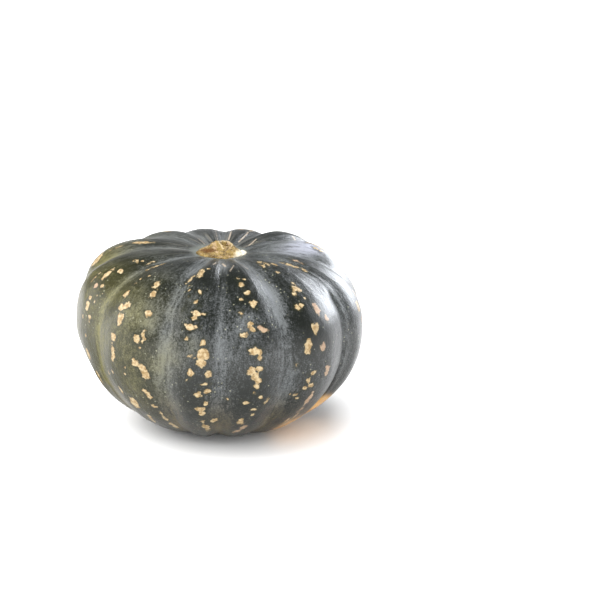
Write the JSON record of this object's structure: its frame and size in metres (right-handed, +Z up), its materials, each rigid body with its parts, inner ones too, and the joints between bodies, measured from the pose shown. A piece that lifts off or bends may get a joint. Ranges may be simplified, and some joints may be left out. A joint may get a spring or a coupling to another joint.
{
  "type": "kabocha squash",
  "caption": "Whole ribbed winter squash with a dark green, cream-flecked rind, standing upright, with the dry corky stub of its stalk on top.",
  "frame": {"origin": "middle of the squash's bounding box, on the ground it stands on", "axes": "+Z up through the stub, -Y toward the front of the squash, +X to the right of its front"},
  "size_m": [0.1858, 0.1878, 0.1235],
  "materials": {
    "rind": "waxy satin rind, dark grey-green with cream flecks and paler grooves",
    "cork": "dry, rough and corky, ochre with cream ridges"
  },
  "bodies": {
    "root": {"fruit": "rind", "stem_stub": "cork"}
  },
  "joints": []
}
